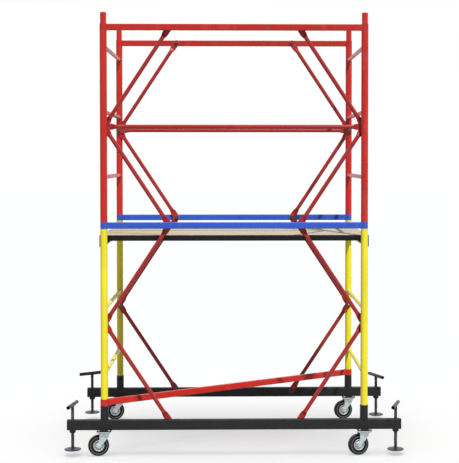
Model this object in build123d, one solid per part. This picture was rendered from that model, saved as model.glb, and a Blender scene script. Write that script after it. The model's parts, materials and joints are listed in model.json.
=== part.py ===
from build123d import *
import os
from math import atan2, degrees, hypot

os.makedirs("parts", exist_ok=True)

# A mobile scaffold tower of two ladder-frame sections on a wheeled base.
# X runs along the tower, left to right; the front is at -Y; Z is up from the floor under the wheels.
# The origin is on the floor at the centre of the base. Every size is in millimetres.

# ---- plan of the tower ----
tower_length = 1600.0  # over the posts, along X
tower_width = 1000.0  # over the posts, along Y

# ---- ladder frames ----
post_od = 42.4
post_wall = 2.0
rung_od = 25.0
rung_wall = 1.5
first_rung_height = 268.0  # above the bottom of the frame
rung_spacing = 390.0
rung_count = 3
post_above_rungs = 92.0  # from the top rung to the end of the post tube
spigot_od = 36.5  # the bare pin on top of each post
spigot_wall = 3.0
spigot_reach = 110.0  # above the post it is pressed into
spigot_depth = 60.0  # pressed inside that post
spigot_chamfer = 5.0
press_clearance = 0.05  # on the radius of a pressed plug
vent_d = 8.0  # drain hole through the wall at the end of a closed tube

# ---- collars and rails ----
collar_height = 40.0
rail_height = 38.0
rail_depth = 25.0
rail_wall = 2.0
rail_corner = 5.0

# ---- braces: round tubes with flattened, drilled ends ----
brace_od = 25.0
brace_wall = 1.5
brace_flat = 4.0  # thickness of a flattened end
brace_flat_width = 38.0
brace_flat_length = 60.0  # from the stud to where the flat starts to open into the tube
brace_taper = 35.0  # length over which the flat becomes round
brace_reach = 389.0  # from the post to the rail stud, along X
stud_d = 12.0
stud_clearance = 0.3  # on the radius, in a brace hole
stud_spare = 3.0  # stud beyond its nut
boss_d = 22.0
brace_plane = 23.0  # from the post centre to the seat of the first brace
washer_d = 24.0
washer_t = 2.5
nut_flats = 18.0
nut_h = 10.0

# ---- base beams ----
beam_height = 60.0
beam_depth = 40.0
beam_wall = 2.5
beam_corner = 4.0
plug_flange = 3.0
plug_gap = 2.0  # between a plug and the hole of the jack screw
socket_wall = 2.6
socket_height = 85.0  # above the beam
socket_clearance = 0.35  # on the radius, round a post
seat_height = 5.0  # ring inside the socket that the post stands on
seat_bore = 30.0
pad_thickness = 4.0

# ---- casters ----
wheel_d = 125.0
tyre_width = 36.0
tyre_round = 9.0
rim_d = 66.0
rim_width = 28.0
rim_wall = 2.5
hub_d = 26.0
axle_d = 12.0
axle_head = 7.0
axle_flats = 19.0
caster_height = 151.0  # floor to the top of the caster plate
caster_trail = 36.0  # from the swivel axis to the wheel's centre
caster_plate_x = 85.0
caster_plate_y = 105.0
caster_plate_t = 4.0
caster_holes_x = 60.0
caster_holes_y = 80.0
caster_bolt_d = 8.0
caster_bolt_flats = 13.0
caster_bolt_head = 5.3
caster_nut_h = 6.5
race_d = 60.0
race_h = 7.0
cup_d = 64.0
cup_h = 3.0
fork_plate = 4.0
fork_leg = 3.0
fork_leg_gap = 2.5  # between the tyre and a leg
fork_front = 24.0  # of the swivel axis
fork_back = 33.0
fork_eye = 15.0  # radius round the axle
fork_front_edge = 16.0  # upright front edge of a leg
fork_back_edge = 36.0  # upright back edge of a leg
kingpin_d = 12.0
kingpin_head_d = 24.0
kingpin_head_h = 5.0
bore_clearance = 0.06  # on the radius of a turning fit
face_clearance = 0.3  # between faces that slide past each other
# the four wheels trail to the left, each turned a little towards the front
caster_yaw = {"front_left": 12.0, "front_right": 16.0, "rear_left": 11.0, "rear_right": 14.0}

# ---- screw jacks ----
jack_gap = 42.7  # between the foot plate and the sweep of the wheel beside it
jack_inset = 29.0  # from the end of the beam tube to the screw
screw_d = 20.0
screw_hole_clearance = 1.0  # on the radius, in the beam walls
foot_d = 100.0
foot_t = 4.0
foot_boss_d = 34.0
foot_boss_h = 9.0
foot_boss_taper = 5.0
nut_boss_d = 38.0
nut_boss_h = 18.0
nut_boss_taper = 5.0
handle_od = 22.0
handle_wall = 2.5
handle_length = 180.0
handle_above_foot = 266.0  # handle's centre above the top of the foot plate
foot_top = {"front_left": 39.0, "front_right": 32.0, "rear_left": 50.0, "rear_right": 28.0}
handle_yaw = {"front_left": 81.0, "front_right": 72.0, "rear_left": 32.0, "rear_right": -66.0}

# ---- deck ----
deck_side_gap = 32.6  # between the deck and a post
deck_end_overhang = 12.0  # of the deck past the outer faces of the posts
deck_height = 33.0
deck_rise = 3.5  # bottom of the deck above the top of the rungs
deck_bar = 25.0
deck_bar_wall = 2.0
deck_lip = 15.0
deck_lip_t = 3.0
deck_cross_bars = 2
deck_cross_height = 18.0
panel_t = 12.0
panel_gap = 0.8
hook_t = 6.0
hook_inset = 3.0  # from the side of the deck
hook_leg = 21.0  # width of the outer leg
hook_drop = 20.0  # outer leg below the middle of the rung
hook_gusset = 20.0  # length of the gusset under the deck
hook_gusset_drop = 18.0
hook_clearance = 0.3
screw_head_d = 9.0
screw_shank_d = 4.5
screw_head_h = 2.5
screws_along = 5
screws_across = 3

# ---- places worked out from the sizes ----
half_length = (tower_length - post_od) / 2
half_width = (tower_width - post_od) / 2
beam_bottom = caster_height + pad_thickness
beam_top = beam_bottom + beam_height
socket_id = post_od + 2 * socket_clearance
socket_od = socket_id + 2 * socket_wall
lower_foot = beam_top + seat_height
frame_height = first_rung_height + (rung_count - 1) * rung_spacing + post_above_rungs
lower_top = lower_foot + frame_height
upper_foot = lower_top + collar_height
upper_top = upper_foot + frame_height
post_id = post_od - 2 * post_wall
platform_rail_z = lower_top + collar_height / 2
top_rail_z = upper_top + collar_height / 2
# the post studs stand halfway between two rails, so that the braces above and below are alike
stud_above_foot = frame_height / 2
brace_rise = (frame_height + collar_height) / 2
beam_stud_z = lower_foot + stud_above_foot - brace_rise
upper_stud_z = upper_foot + stud_above_foot
rung_heights = [first_rung_height + n * rung_spacing for n in range(rung_count)]
deck_rung_z = lower_foot + rung_heights[-1]
deck_bottom = deck_rung_z + rung_od / 2 + deck_rise
deck_top = deck_bottom + deck_height
deck_half_length = half_length + post_od / 2 + deck_end_overhang
plug_depth = jack_inset - screw_d / 2 - screw_hole_clearance - plug_gap
wheel_r = wheel_d / 2
jack_x = half_length + caster_trail + wheel_r + jack_gap + foot_d / 2
beam_length = 2 * (jack_x + jack_inset)
deck_width = 2 * (half_width - deck_side_gap) - post_od
corners = {
    "front_left": (-half_length, -half_width),
    "front_right": (half_length, -half_width),
    "rear_left": (-half_length, half_width),
    "rear_right": (half_length, half_width),
}
ends = {"front": -half_width, "rear": half_width}
sides = {"left": -half_length, "right": half_length}

UP = (Align.CENTER, Align.CENTER, Align.MIN)


def save(name, *solids):
    """Writes one sub-part, a single solid or a group of separate ones."""
    shapes = [s for shape in solids for s in shape.solids()]
    whole = shapes[0] if len(shapes) == 1 else Compound(children=shapes)
    whole.label = name
    export_step(whole, f"parts/{name}.step")


def rod(diameter, low, high, x=0.0, y=0.0):
    """An upright cylinder from one height to another."""
    return Pos(x, y, low) * Cylinder(diameter / 2, high - low, align=UP)


def cross_rod(diameter, start, end, x=0.0, z=0.0):
    """A cylinder along Y from one place to another."""
    return Pos(x, start, z) * Rot(-90, 0, 0) * Cylinder(diameter / 2, end - start, align=UP)


def cross_hex(flats, start, end, x=0.0, z=0.0):
    """A hexagonal bar along Y from one place to another."""
    bar = extrude(RegularPolygon(flats / 2, 6, major_radius=False), end - start)
    return Pos(x, start, z) * Rot(-90, 0, 0) * bar


def box_bar(length, depth, height, corner):
    """A bar along X, centred on the origin, with rounded long edges."""
    section = RectangleRounded(depth, height, corner) if corner > 0 else Rectangle(depth, height)
    return Pos(-length / 2, 0, 0) * Rot(0, 90, 0) * Rot(0, 0, 90) * extrude(section, length)


def box_tube(length, depth, height, wall, corner):
    """The outside and the bore of a rectangular tube along X."""
    bore = box_bar(length, depth - 2 * wall, height - 2 * wall, corner - wall)
    return box_bar(length, depth, height, corner), bore


# ---- studs, washers and nuts that hold the braces ----
washers = []
nuts = []


def stud(x, post_y, z, back, boss_end, layers):
    """A boss and stud pointing into the tower; adds the washer and nut that hold the braces.

    The boss runs from back to boss_end, both measured from the post's centre line, and
    layers is the number of flattened brace ends on the stud.
    """
    inward = -1 if post_y > 0 else 1
    seat = boss_end + layers * brace_flat
    nut_end = seat + washer_t + nut_h
    place = Pos(0, post_y, 0) * Rot(0, 0, 0 if inward > 0 else 180)
    x_local = x * inward
    hole = cross_rod(stud_d + 2 * stud_clearance, seat, nut_end, x_local, z)
    washers.append(place * (cross_rod(washer_d, seat, seat + washer_t, x_local, z) - hole))
    nuts.append(place * (cross_hex(nut_flats, seat + washer_t, nut_end, x_local, z) - hole))
    boss = cross_rod(boss_d, back, boss_end, x_local, z)
    return place * (boss + cross_rod(stud_d, back, nut_end + stud_spare, x_local, z))


# ---- ladder frames ----
def ladder_frame(x, foot, layers):
    """Two posts, the brace stud welded on each, and the rungs saddled between the posts."""
    top = foot + frame_height
    outsides = [rod(post_od, foot, top, x, y) for y in ends.values()]
    vents = []
    rungs = []
    for height in rung_heights:
        z = foot + height
        rung = cross_rod(rung_od, -half_width, half_width, x, z)
        bore = cross_rod(rung_od - 2 * rung_wall, -half_width, half_width, x, z)
        rungs.append(rung - bore - outsides)
        vents.append(cross_rod(vent_d, -half_width, half_width, x, z))
    posts = []
    studs = []
    for y, outside in zip(ends.values(), outsides):
        posts.append(outside - rod(post_id, foot, top, x, y) - vents)
        studs.append(stud(x, y, foot + stud_above_foot, 0, brace_plane, layers) - outside)
    return posts + studs + rungs


def spigot(x, y, top):
    """The pin on top of a post: a plug pressed into the post and a narrower pin above it."""
    plug = rod(post_id - 2 * press_clearance, top - spigot_depth, top, x, y)
    pin = rod(spigot_od, top, top + spigot_reach, x, y)
    pin = chamfer(pin.faces().sort_by(Axis.Z)[-1].edges(), spigot_chamfer)
    bore = rod(spigot_od - 2 * spigot_wall, top - spigot_depth, top + spigot_reach, x, y)
    return plug + pin - bore


levels = {"lower": (lower_foot, 2), "upper": (upper_foot, 3)}
for level, (foot, layers) in levels.items():
    for side, x in sides.items():
        save(f"{level}_frame_{side}", *ladder_frame(x, foot, layers))
    save(f"{level}_spigots", *[spigot(x, y, foot + frame_height) for x, y in corners.values()])


# ---- rails with a collar at each end ----
def collared_bar(start, end, z, od, bore_d):
    """A rectangular tube between two posts, and the collar round each post that it is welded to."""
    length = hypot(end[0] - start[0], end[1] - start[1])
    turn = degrees(atan2(end[1] - start[1], end[0] - start[0]))
    middle = Pos((start[0] + end[0]) / 2, (start[1] + end[1]) / 2, z) * Rot(0, 0, turn)
    outside, bore = box_tube(length, rail_depth, rail_height, rail_wall, rail_corner)
    vent = Rot(0, 90, 0) * Cylinder(vent_d / 2, length)
    low, high = z - collar_height / 2, z + collar_height / 2
    collars = [rod(od, low, high, *place) for place in (start, end)]
    bar = middle * (outside - bore) - collars
    rings = [c - rod(bore_d, low, high, *place) for c, place in zip(collars, (start, end))]
    return [bar] + [ring - middle * vent for ring in rings]


def braced_rail(y, z, boss_end, layers):
    """A rail along the tower, its collars, and two brace studs on its inner face."""
    bar = collared_bar((-half_length, y), (half_length, y), z, post_od, post_id)
    reach = half_length - brace_reach
    return bar + [stud(x, y, z, rail_depth / 2, boss_end, layers) for x in (-reach, reach)]


for end, y in ends.items():
    save(f"platform_rail_{end}", *braced_rail(y, platform_rail_z, brace_plane, 2))
    save(f"top_rail_{end}", *braced_rail(y, top_rail_z, brace_plane + brace_flat, 1))

plan_brace_z = beam_top + socket_height + collar_height / 2
plan_brace = collared_bar(
    corners["front_left"], corners["rear_right"], plan_brace_z, socket_od, socket_id
)
save("plan_brace", *plan_brace)


# ---- braces and mid rails ----
def flat_ended_tube(length):
    """A tube along X from one stud hole at the origin to another, its ends pressed flat in XZ."""
    open_start = brace_flat_length + brace_taper
    straight = Rectangle(brace_flat_length, brace_flat_width, align=(Align.MIN, Align.CENTER))
    outline = Circle(brace_flat_width / 2) + straight
    flat = Rot(90, 0, 0) * Pos(0, 0, -brace_flat / 2) * extrude(outline, brace_flat)
    pressed = Plane((brace_flat_length, 0, 0), x_dir=(0, 0, 1), z_dir=(1, 0, 0))
    opened = Plane((open_start, 0, 0), x_dir=(0, 0, 1), z_dir=(1, 0, 0))
    taper = loft([
        pressed * Ellipse(brace_flat_width / 2, brace_flat / 2),
        opened * Circle(brace_od / 2),
    ])
    hole = cross_rod(stud_d + 2 * stud_clearance, -brace_flat, brace_flat)
    near_end = flat + taper - hole
    far_end = Pos(length, 0, 0) * Rot(0, 0, 180) * near_end
    run = length - 2 * open_start
    tube = Pos(open_start, 0, 0) * Rot(0, 90, 0) * Cylinder(brace_od / 2, run, align=UP)
    bore = Cylinder(brace_od / 2 - brace_wall, run - 2 * brace_wall, align=UP)
    bore = Pos(open_start + brace_wall, 0, 0) * Rot(0, 90, 0) * bore
    vent = rod(vent_d, -brace_od, 0, open_start + brace_od)
    return near_end + far_end + tube - bore - vent


def layer_y(post_y, layer):
    """Middle of a brace layer, counted inward from the seat on the post's stud."""
    inward = -1 if post_y > 0 else 1
    return post_y + inward * (brace_plane + (layer + 0.5) * brace_flat)


brace_length = hypot(brace_reach, brace_rise)
brace_slope = degrees(atan2(brace_rise, brace_reach))
brace = flat_ended_tube(brace_length)
for level, (foot, _) in levels.items():
    for end, y in ends.items():
        group = []
        for x in sides.values():
            heading = 0 if x < 0 else 180
            for layer, slope in ((0, brace_slope), (1, -brace_slope)):
                place = Pos(x, layer_y(y, layer), foot + stud_above_foot)
                group.append(place * Rot(0, 0, heading) * Rot(0, slope, 0) * brace)
        save(f"{level}_braces_{end}", *group)

mid_rail = flat_ended_tube(2 * half_length)
for end, y in ends.items():
    save(f"mid_rail_{end}", Pos(-half_length, layer_y(y, 2), upper_stud_z) * mid_rail)


# ---- base beams ----
def base_beam(y):
    """A rectangular tube with screw holes near its ends, and two brace studs on its inner face."""
    outside, bore = box_tube(beam_length, beam_depth, beam_height, beam_wall, beam_corner)
    middle = Pos(0, y, beam_bottom + beam_height / 2)
    hole_d = screw_d + 2 * screw_hole_clearance
    holes = [rod(hole_d, beam_bottom, beam_top, x, y) for x in (-jack_x, jack_x)]
    reach = half_length - brace_reach
    studs = [stud(x, y, beam_stud_z, beam_depth / 2, brace_plane, 1) for x in (-reach, reach)]
    return [middle * outside - middle * bore - holes] + studs


def post_socket(x, y):
    """A tube welded on the beam, with a ring at its foot that the post stands on."""
    top = beam_top + socket_height
    tube = rod(socket_od, beam_top, top, x, y) - rod(socket_id, beam_top, top, x, y)
    ring = rod(socket_id, beam_top, lower_foot, x, y) - rod(seat_bore, beam_top, lower_foot, x, y)
    return tube + ring


def bolt_places(x, y):
    """Centres of the four bolts of a caster plate."""
    offsets = [(i, j) for i in (-0.5, 0.5) for j in (-0.5, 0.5)]
    return [(x + i * caster_holes_x, y + j * caster_holes_y) for i, j in offsets]


def drilled_plate(x, y, low, high):
    """A plate over a swivel axis with the four bolt holes of a caster."""
    plate = Pos(x, y, low) * Box(caster_plate_x, caster_plate_y, high - low, align=UP)
    plate = fillet(plate.edges().filter_by(Axis.Z), caster_plate_t)
    hole_d = caster_bolt_d + 2 * stud_clearance
    return plate - [rod(hole_d, low, high, *place) for place in bolt_places(x, y)]


def end_plug(side, y):
    """A plastic plug in the end of a beam: a flange against the tube and a body inside it."""
    middle_z = beam_bottom + beam_height / 2
    flange = box_bar(plug_flange, beam_depth, beam_height, beam_corner)
    body_depth = beam_depth - 2 * beam_wall - 2 * press_clearance
    body_height = beam_height - 2 * beam_wall - 2 * press_clearance
    body = box_bar(plug_depth, body_depth, body_height, beam_corner - beam_wall)
    flange_x = side * (beam_length + plug_flange) / 2
    body_x = side * (beam_length - plug_depth) / 2
    return Pos(flange_x, y, middle_z) * flange + Pos(body_x, y, middle_z) * body


def jack_nut(x, y):
    """A threaded boss under the beam, narrowing at its foot, shown with a plain bore."""
    low = beam_bottom - nut_boss_h
    body = rod(nut_boss_d, low, beam_bottom, x, y)
    body = chamfer(body.faces().sort_by(Axis.Z)[0].edges(), nut_boss_taper)
    return body - rod(screw_d + 2 * bore_clearance, low, beam_bottom, x, y)


for end, y in ends.items():
    save(f"base_beam_{end}", *base_beam(y))
jack_places = {name: (jack_x if x > 0 else -jack_x, y) for name, (x, y) in corners.items()}
pads = [drilled_plate(x, y, caster_height, beam_bottom) for x, y in corners.values()]
save("caster_pads", *pads)
save("post_sockets", *[post_socket(x, y) for x, y in corners.values()])
save("beam_end_plugs", *[end_plug(side, y) for side in (-1, 1) for y in ends.values()])
save("jack_nuts", *[jack_nut(x, y) for x, y in jack_places.values()])
save("brace_washers", *washers)
save("brace_nuts", *nuts)

# ---- casters: what stays on the beam ----
plate_low = caster_height - caster_plate_t
race_low = plate_low - race_h
cup_top = race_low - face_clearance
crown_top = cup_top - cup_h
crown_low = crown_top - fork_plate
leg_inner = tyre_width / 2 + fork_leg_gap


def top_plate(x, y):
    """The bolted plate of a caster, with the upper race of its swivel bearing."""
    race = rod(race_d, race_low, plate_low, x, y)
    bore = rod(kingpin_d + 2 * press_clearance, race_low, caster_height, x, y)
    return drilled_plate(x, y, plate_low, caster_height) + race - bore


def kingpin(x, y):
    """The pin that the fork turns on, with its head under the fork."""
    head_top = crown_low - face_clearance
    return rod(kingpin_d, head_top, caster_height, x, y) + rod(
        kingpin_head_d, head_top - kingpin_head_h, head_top, x, y
    )


def caster_bolt(x, y):
    """A hexagon bolt from the top of the pad down through the caster plate."""
    head = extrude(RegularPolygon(caster_bolt_flats / 2, 6, major_radius=False), caster_bolt_head)
    shank_low = plate_low - caster_nut_h - caster_bolt_d / 4
    return Pos(x, y, beam_bottom) * head + rod(caster_bolt_d, shank_low, beam_bottom, x, y)


def caster_nut(x, y):
    """The nut of a caster bolt, against the underside of the plate."""
    low = plate_low - caster_nut_h
    body = extrude(RegularPolygon(caster_bolt_flats / 2, 6, major_radius=False), caster_nut_h)
    bore = rod(caster_bolt_d + 2 * press_clearance, low, plate_low, x, y)
    return Pos(x, y, low) * body - bore


bolts_xy = [place for corner in corners.values() for place in bolt_places(*corner)]
save("caster_top_plates", *[top_plate(x, y) for x, y in corners.values()])
save("caster_kingpins", *[kingpin(x, y) for x, y in corners.values()])
save("caster_bolts", *[caster_bolt(x, y) for x, y in bolts_xy])
save("caster_nuts", *[caster_nut(x, y) for x, y in bolts_xy])


# ---- casters: the fork and wheel, built with the swivel axis on Z and the wheel behind it ----
def caster_fork():
    """A pressed fork: a crown with the lower bearing cup, and a leg on each side of the wheel."""
    width = 2 * (leg_inner + fork_leg)
    length = fork_front + fork_back
    crown = Pos((fork_front - fork_back) / 2, 0, crown_low) * Box(length, width, fork_plate, align=UP)
    crown += rod(cup_d, crown_top, cup_top)
    outline = Polyline(
        (-caster_trail - fork_eye, wheel_r),
        (-fork_back, crown_top - fork_back_edge),
        (-fork_back, crown_top),
        (fork_front, crown_top),
        (fork_front, crown_top - fork_front_edge),
        (-caster_trail + fork_eye, wheel_r),
    )
    tip = ThreePointArc(outline @ 1, (-caster_trail, wheel_r - fork_eye), outline @ 0)
    leg = extrude(make_face(Wire([*outline.edges(), *tip.edges()])), fork_leg)
    leg = Rot(90, 0, 0) * leg
    legs = [Pos(0, -leg_inner, 0) * leg, Pos(0, leg_inner + fork_leg, 0) * leg]
    axle_hole = cross_rod(axle_d + 2 * press_clearance, -width, width, -caster_trail, wheel_r)
    swivel_hole = rod(kingpin_d + 2 * bore_clearance, crown_low, cup_top)
    return crown + legs - axle_hole - swivel_hole


def wheel_axle():
    """A bolt through the fork legs with a nut at its far end."""
    face = leg_inner + fork_leg
    shank = cross_rod(axle_d, -face, face, -caster_trail, wheel_r)
    head = cross_hex(axle_flats, -face - axle_head, -face, -caster_trail, wheel_r)
    nut = cross_hex(axle_flats, face, face + axle_head, -caster_trail, wheel_r)
    return shank + head + nut


def wheel_ring(outline):
    """Turns an outline of (radius, offset along the axle) round the axle."""
    face = make_face(Polyline(*[(r, 0, y) for r, y in outline], close=True))
    ring = revolve(face, Axis.Z, 360)
    return Pos(-caster_trail, 0, wheel_r) * Rot(90, 0, 0) * ring


def wheel_rim():
    """A pressed rim: a hub tube, a thin web and a flanged band that holds the tyre."""
    bore = axle_d / 2 + bore_clearance
    hub_end = leg_inner - face_clearance
    hub = hub_d / 2
    band = rim_d / 2
    half = rim_width / 2
    return wheel_ring([
        (bore, -hub_end), (hub, -hub_end), (hub, -rim_wall), (band - rim_wall, -rim_wall),
        (band - rim_wall, -half), (band, -half), (band, half), (band - rim_wall, half),
        (band - rim_wall, rim_wall), (hub, rim_wall), (hub, hub_end), (bore, hub_end),
    ])


def wheel_tyre():
    """A solid rubber tyre on the rim, with rounded shoulders."""
    half = tyre_width / 2
    tyre = wheel_ring([(rim_d / 2, -half), (wheel_r, -half), (wheel_r, half), (rim_d / 2, half)])
    rims = tyre.edges().filter_by(GeomType.CIRCLE)
    shoulders = [e for e in rims if e.radius > (rim_d + wheel_d) / 4]
    return fillet(shoulders, tyre_round)


caster_pieces = {
    "fork": caster_fork(), "axle": wheel_axle(), "rim": wheel_rim(), "tyre": wheel_tyre()
}
for corner, (x, y) in corners.items():
    place = Pos(x, y, 0) * Rot(0, 0, caster_yaw[corner])
    for piece, shape in caster_pieces.items():
        save(f"caster_{piece}_{corner}", place * shape)


# ---- screw jacks ----
def jack_foot(top):
    """A round foot plate with a low boss that the end of the screw turns in."""
    disc = rod(foot_d, top - foot_t, top)
    boss = rod(foot_boss_d, top, top + foot_boss_h)
    boss = chamfer(boss.faces().sort_by(Axis.Z)[-1].edges(), foot_boss_taper)
    return disc + boss - rod(screw_d + 2 * bore_clearance, top, top + foot_boss_h)


def jack_screw(top, turn):
    """A screw with a tube handle welded across its top, its thread left plain."""
    handle_z = top + handle_above_foot
    bar = cross_rod(handle_od, -handle_length / 2, handle_length / 2)
    bore = cross_rod(handle_od - 2 * handle_wall, -handle_length / 2, handle_length / 2)
    # the bar lies along Y, so a yaw of 90 degrees from +X leaves it there
    bar = Pos(0, 0, handle_z) * Rot(0, 0, turn - 90) * (bar - bore)
    screw_top = handle_z - handle_od / 2 + handle_wall
    return rod(screw_d, top + face_clearance, screw_top) + bar


for corner, (x, y) in jack_places.items():
    save(f"jack_foot_{corner}", Pos(x, y, 0) * jack_foot(foot_top[corner]))
    screw = jack_screw(foot_top[corner], handle_yaw[corner])
    save(f"jack_screw_{corner}", Pos(x, y, 0) * screw)

# ---- deck ----
inner_length = 2 * (deck_half_length - deck_bar)
inner_width = deck_width - 2 * deck_bar
panel_low = deck_top - panel_t
lip_low = panel_low - deck_lip_t
end_bar_height = deck_height - panel_t


def deck_frame():
    """Two side bars, end bars as low as the panel's seat, an inner lip, and cross bars."""
    outer = Box(2 * deck_half_length, deck_width, deck_height, align=UP)
    inner = Box(inner_length, inner_width, deck_height, align=UP)
    frame = Pos(0, 0, deck_bottom) * (outer - inner)
    frame -= Pos(0, 0, panel_low) * Box(2 * deck_half_length, inner_width, panel_t, align=UP)
    opening = Box(inner_length - 2 * deck_lip, inner_width - 2 * deck_lip, deck_lip_t, align=UP)
    lip = Pos(0, 0, lip_low) * (Box(inner_length, inner_width, deck_lip_t, align=UP) - opening)
    frame += lip
    for step in range(deck_cross_bars):
        x = inner_length * ((step + 1) / (deck_cross_bars + 1) - 0.5)
        bar = Box(deck_bar, inner_width, deck_cross_height, align=UP)
        frame += Pos(x, 0, panel_low - deck_cross_height) * bar
    # the bars are tubes: the long ones run through and open at the ends of the deck
    bore_low = deck_bottom + deck_bar_wall
    bore_d = deck_bar - 2 * deck_bar_wall
    for side in (-1, 1):
        y = side * (deck_width - deck_bar) / 2
        frame -= Pos(0, y, bore_low) * Box(2 * deck_half_length, bore_d, deck_height - 2 * deck_bar_wall, align=UP)
        x = side * (deck_half_length - deck_bar / 2)
        end_bore = Box(bore_d, inner_width + 2 * deck_bar_wall, end_bar_height - 2 * deck_bar_wall, align=UP)
        frame -= Pos(x, 0, bore_low) * end_bore
    return frame


def deck_hook(side, y):
    """A plate under the end of a side bar, with a slot that drops over the rung."""
    slot_r = rung_od / 2 + hook_clearance
    outer = half_length + slot_r + hook_leg
    slot_in, slot_out = half_length - slot_r, half_length + slot_r
    gusset_end = slot_in - hook_gusset
    shape = Polyline(
        (slot_out, deck_rung_z), (slot_out, deck_rung_z - hook_drop), (outer, deck_rung_z - hook_drop),
        (outer, deck_bottom), (gusset_end, deck_bottom), (slot_in, deck_bottom - hook_gusset_drop),
        (slot_in, deck_rung_z),
    )
    over_rung = ThreePointArc(shape @ 1, (half_length, deck_rung_z + slot_r), shape @ 0)
    plate = extrude(make_face(Wire([*shape.edges(), *over_rung.edges()])), hook_t)
    plate = Pos(0, hook_t / 2, 0) * Rot(90, 0, 0) * plate
    return Pos(0, y, 0) * Rot(0, 0, 0 if side > 0 else 180) * plate


def screw_places():
    """Centres of the panel screws, along the lip and down the middle of the end bars."""
    half_x = deck_half_length - deck_bar / 2
    half_y = inner_width / 2 - deck_lip / 2
    along = [half_x * (2 * n / (screws_along - 1) - 1) for n in range(screws_along)]
    across = [half_y * (2 * n / (screws_across - 1) - 1) for n in range(screws_across)]
    rim = {(x, y) for x in along for y in (-half_y, half_y)}
    rim |= {(x, y) for x in (-half_x, half_x) for y in across}
    return sorted(rim)


def deck_screw(x, y):
    """A countersunk screw through the panel into the lip or an end bar."""
    head = Pos(x, y, deck_top - screw_head_h) * Cone(
        screw_shank_d / 2, screw_head_d / 2, screw_head_h, align=UP
    )
    return head + rod(screw_shank_d, lip_low - deck_lip_t, deck_top - screw_head_h, x, y)


deck_screws = [deck_screw(x, y) for x, y in screw_places()]
panel_x = 2 * (deck_half_length - panel_gap)
panel_y = inner_width - 2 * panel_gap
panel = Pos(0, 0, panel_low) * Box(panel_x, panel_y, panel_t, align=UP)
hook_y = deck_width / 2 - hook_inset - hook_t / 2
save("deck_frame", deck_frame() - deck_screws)
save("deck_panel", panel - deck_screws)
save("deck_hooks", *[deck_hook(side, y) for side in (-1, 1) for y in (-hook_y, hook_y)])
save("deck_screws", *deck_screws)
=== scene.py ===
# %% [markdown]
# # A mobile scaffold tower, dressed for its portrait
#
# The frame comes from CAD: every tube, collar, brace, wheel and screw is already in its place and
# knows which body it moves with. This lesson gives that frame its looks. It starts with the camera
# and the light, goes on to the finishes (powder coat, zinc, rubber, plywood), and then works out
# the shapes that a plain solid can't show, such as a tube pressed flat or a rolled thread.

import json
from math import cos, hypot, pi, radians, sin

import bmesh
import bpy
import numpy as np
from mathutils import Euler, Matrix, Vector


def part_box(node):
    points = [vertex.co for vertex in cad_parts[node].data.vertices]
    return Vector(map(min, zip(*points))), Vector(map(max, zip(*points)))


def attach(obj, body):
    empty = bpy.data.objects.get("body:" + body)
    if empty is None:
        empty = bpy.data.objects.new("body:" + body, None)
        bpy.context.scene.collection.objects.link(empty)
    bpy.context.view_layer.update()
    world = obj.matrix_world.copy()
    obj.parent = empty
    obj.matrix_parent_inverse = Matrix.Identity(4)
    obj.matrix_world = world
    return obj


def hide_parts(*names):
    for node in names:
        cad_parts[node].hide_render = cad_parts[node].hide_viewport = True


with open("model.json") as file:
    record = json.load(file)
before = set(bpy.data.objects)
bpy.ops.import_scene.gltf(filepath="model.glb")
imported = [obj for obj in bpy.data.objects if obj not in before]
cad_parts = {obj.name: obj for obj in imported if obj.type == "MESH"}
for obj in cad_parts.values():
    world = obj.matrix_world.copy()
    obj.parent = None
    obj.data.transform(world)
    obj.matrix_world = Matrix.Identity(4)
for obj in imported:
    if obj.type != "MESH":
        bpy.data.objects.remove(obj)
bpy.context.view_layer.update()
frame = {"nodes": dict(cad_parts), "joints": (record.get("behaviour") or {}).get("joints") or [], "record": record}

# %% [markdown]
# ## The camera
#
# A long lens, far away and a little above the deck, keeps the posts nearly parallel. Tilting the
# camera down would make them lean together, so most of the framing is done with lens shift, as in
# pictures of buildings, and the tilt stays under two degrees.

# %% Camera
camera = bpy.data.objects.new("camera", bpy.data.cameras.new("camera"))
bpy.context.scene.collection.objects.link(camera)
bpy.context.scene.camera = camera
tilt_down, turn_right = 0.0284, 0.01818  # radians
shift_right, shift_up = -0.05399568, -0.08639309  # shares of the picture's width
camera.location = (-0.0043, -7.3267, 1.7773)
camera.rotation_euler = Euler((pi / 2 - tilt_down, 0, -turn_right))
camera.data.sensor_width = 36
camera.data.lens = 89.16
camera.data.shift_x, camera.data.shift_y = shift_right, shift_up
camera.data.clip_end = 200
print("lens", round(camera.data.lens, 2), "mm, shift", shift_right, shift_up)

# %% [markdown]
# ## Light and floor
#
# A hard key light stands high in front, a little to the right, so the left side of each post falls
# into shade and the braces draw thin shadows on the deck. A second, very broad one shines nearly
# straight down on the floor alone and blurs the deck's shadow there, as a large soft box does. The
# world gives the even fill of a white studio. Rays that come from the camera, or bounce off
# something shiny, see it as plain white. For all other rays it is much weaker, so that nothing is
# washed out. The floor has a glow of its own that the same rays see and that lights nothing else.

# %% World
fill_level = 0.22
world = bpy.data.worlds.new("studio")
bpy.context.scene.world = world
world.use_nodes = True


def seen_rays(tree):
    """1 for rays that come from the camera, a shiny surface or glass, and 0 for rays of plain light."""
    path = tree.nodes.new("ShaderNodeLightPath")
    total = path.outputs["Is Camera Ray"]
    for kind in ("Is Glossy Ray", "Is Transmission Ray"):
        added = tree.nodes.new("ShaderNodeMath")
        added.operation, added.use_clamp = "ADD", True
        tree.links.new(total, added.inputs[0])
        tree.links.new(path.outputs[kind], added.inputs[1])
        total = added.outputs[0]
    return total


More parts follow.
